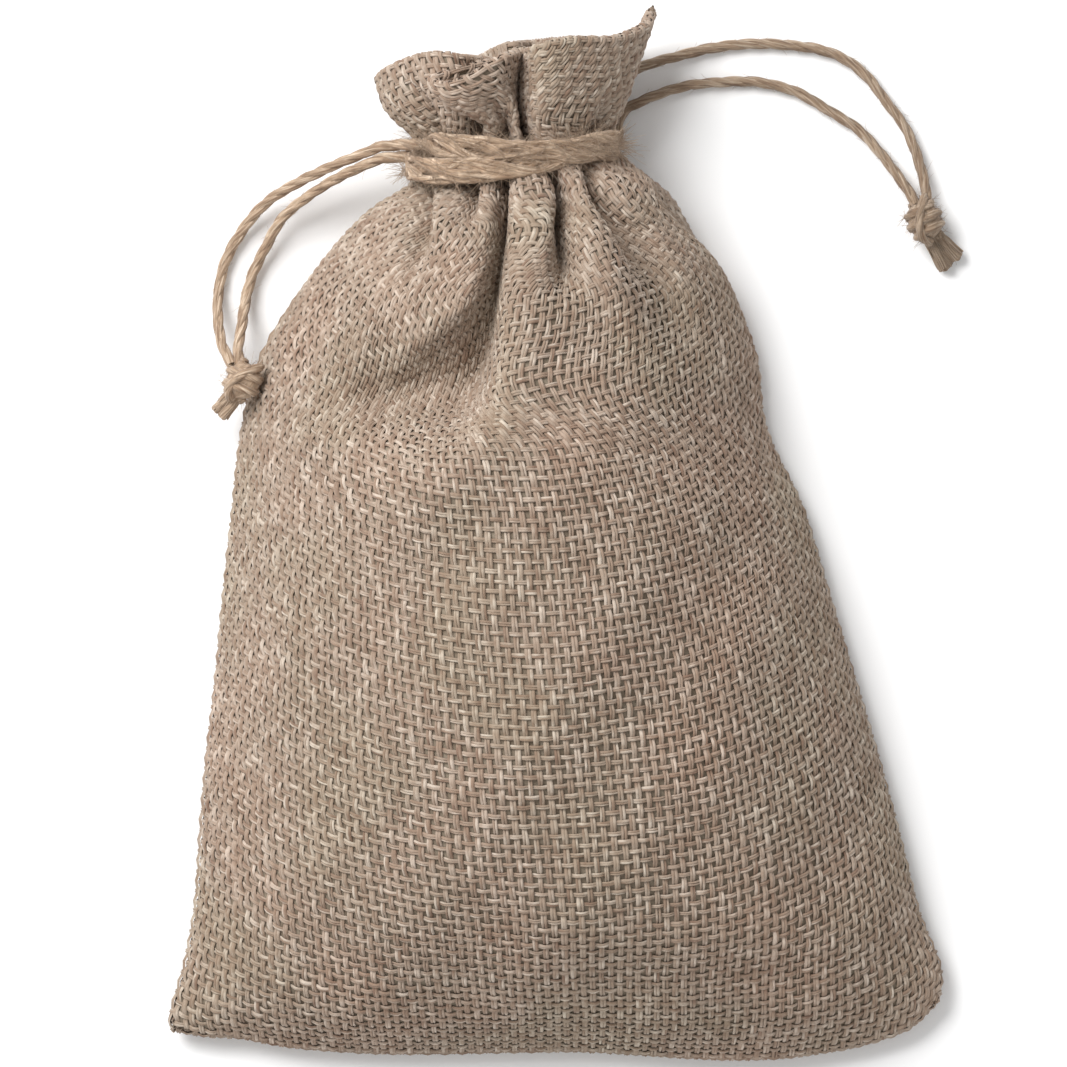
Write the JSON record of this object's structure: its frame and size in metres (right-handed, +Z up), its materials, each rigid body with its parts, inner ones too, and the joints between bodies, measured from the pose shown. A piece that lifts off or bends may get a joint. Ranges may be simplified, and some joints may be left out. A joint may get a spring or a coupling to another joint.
{
  "type": "drawstring gift pouch",
  "caption": "Small filled burlap pouch lying on its back, its frilled neck drawn closed by two knotted jute twine drawcords.",
  "frame": {"origin": "centre of the pouch's plan, on the surface that it lies on", "axes": "+Z up out of the front panel, +Y along the pouch towards its mouth, +X to the right of someone looking down on its front"},
  "size_m": [0.105, 0.1374, 0.0372],
  "materials": {
    "burlap": "coarse plain weave of paired beige yarns",
    "jute_twine": "hairy two-ply tan jute twine",
    "thread": "pale polyester sewing thread"
  },
  "bodies": {
    "pouch": {"front_panel": "burlap", "back_panel": "burlap", "left_seam_thread": "thread", "right_seam_thread": "thread", "bottom_seam_thread": "thread", "front_casing_thread": "thread", "back_casing_thread": "thread", "left_neck_loop": "jute_twine", "right_neck_loop": "jute_twine"},
    "left_lead": {"left_lead_upper": "jute_twine", "left_lead_lower": "jute_twine"},
    "left_cord": {"left_strand_outer": "jute_twine", "left_strand_inner": "jute_twine", "left_knot": "jute_twine", "left_tail_a": "jute_twine", "left_tail_b": "jute_twine"},
    "right_lead": {"right_lead_upper": "jute_twine", "right_lead_lower": "jute_twine"},
    "right_cord": {"right_strand_upper": "jute_twine", "right_strand_lower": "jute_twine", "right_knot": "jute_twine", "right_tail_a": "jute_twine", "right_tail_b": "jute_twine"}
  },
  "joints": [
    {"name": "left_pull", "type": "slide", "parent": "pouch", "child": "left_lead", "axis": [-1, 0, 0], "range_m": [0, 0.005]},
    {"name": "left_swing", "type": "hinge", "parent": "left_lead", "child": "left_cord", "pos_m": [-0.0219, 0.0493, 0.0099], "axis": [0, 0, 1], "range_deg": [-30, 0]},
    {"name": "right_pull", "type": "slide", "parent": "pouch", "child": "right_lead", "axis": [0, 1, 0], "range_m": [0, 0.005]},
    {"name": "right_swing", "type": "hinge", "parent": "right_lead", "child": "right_cord", "pos_m": [0.007, 0.0523, 0.0029], "axis": [0, 0, 1], "range_deg": [-30, 12]}
  ]
}
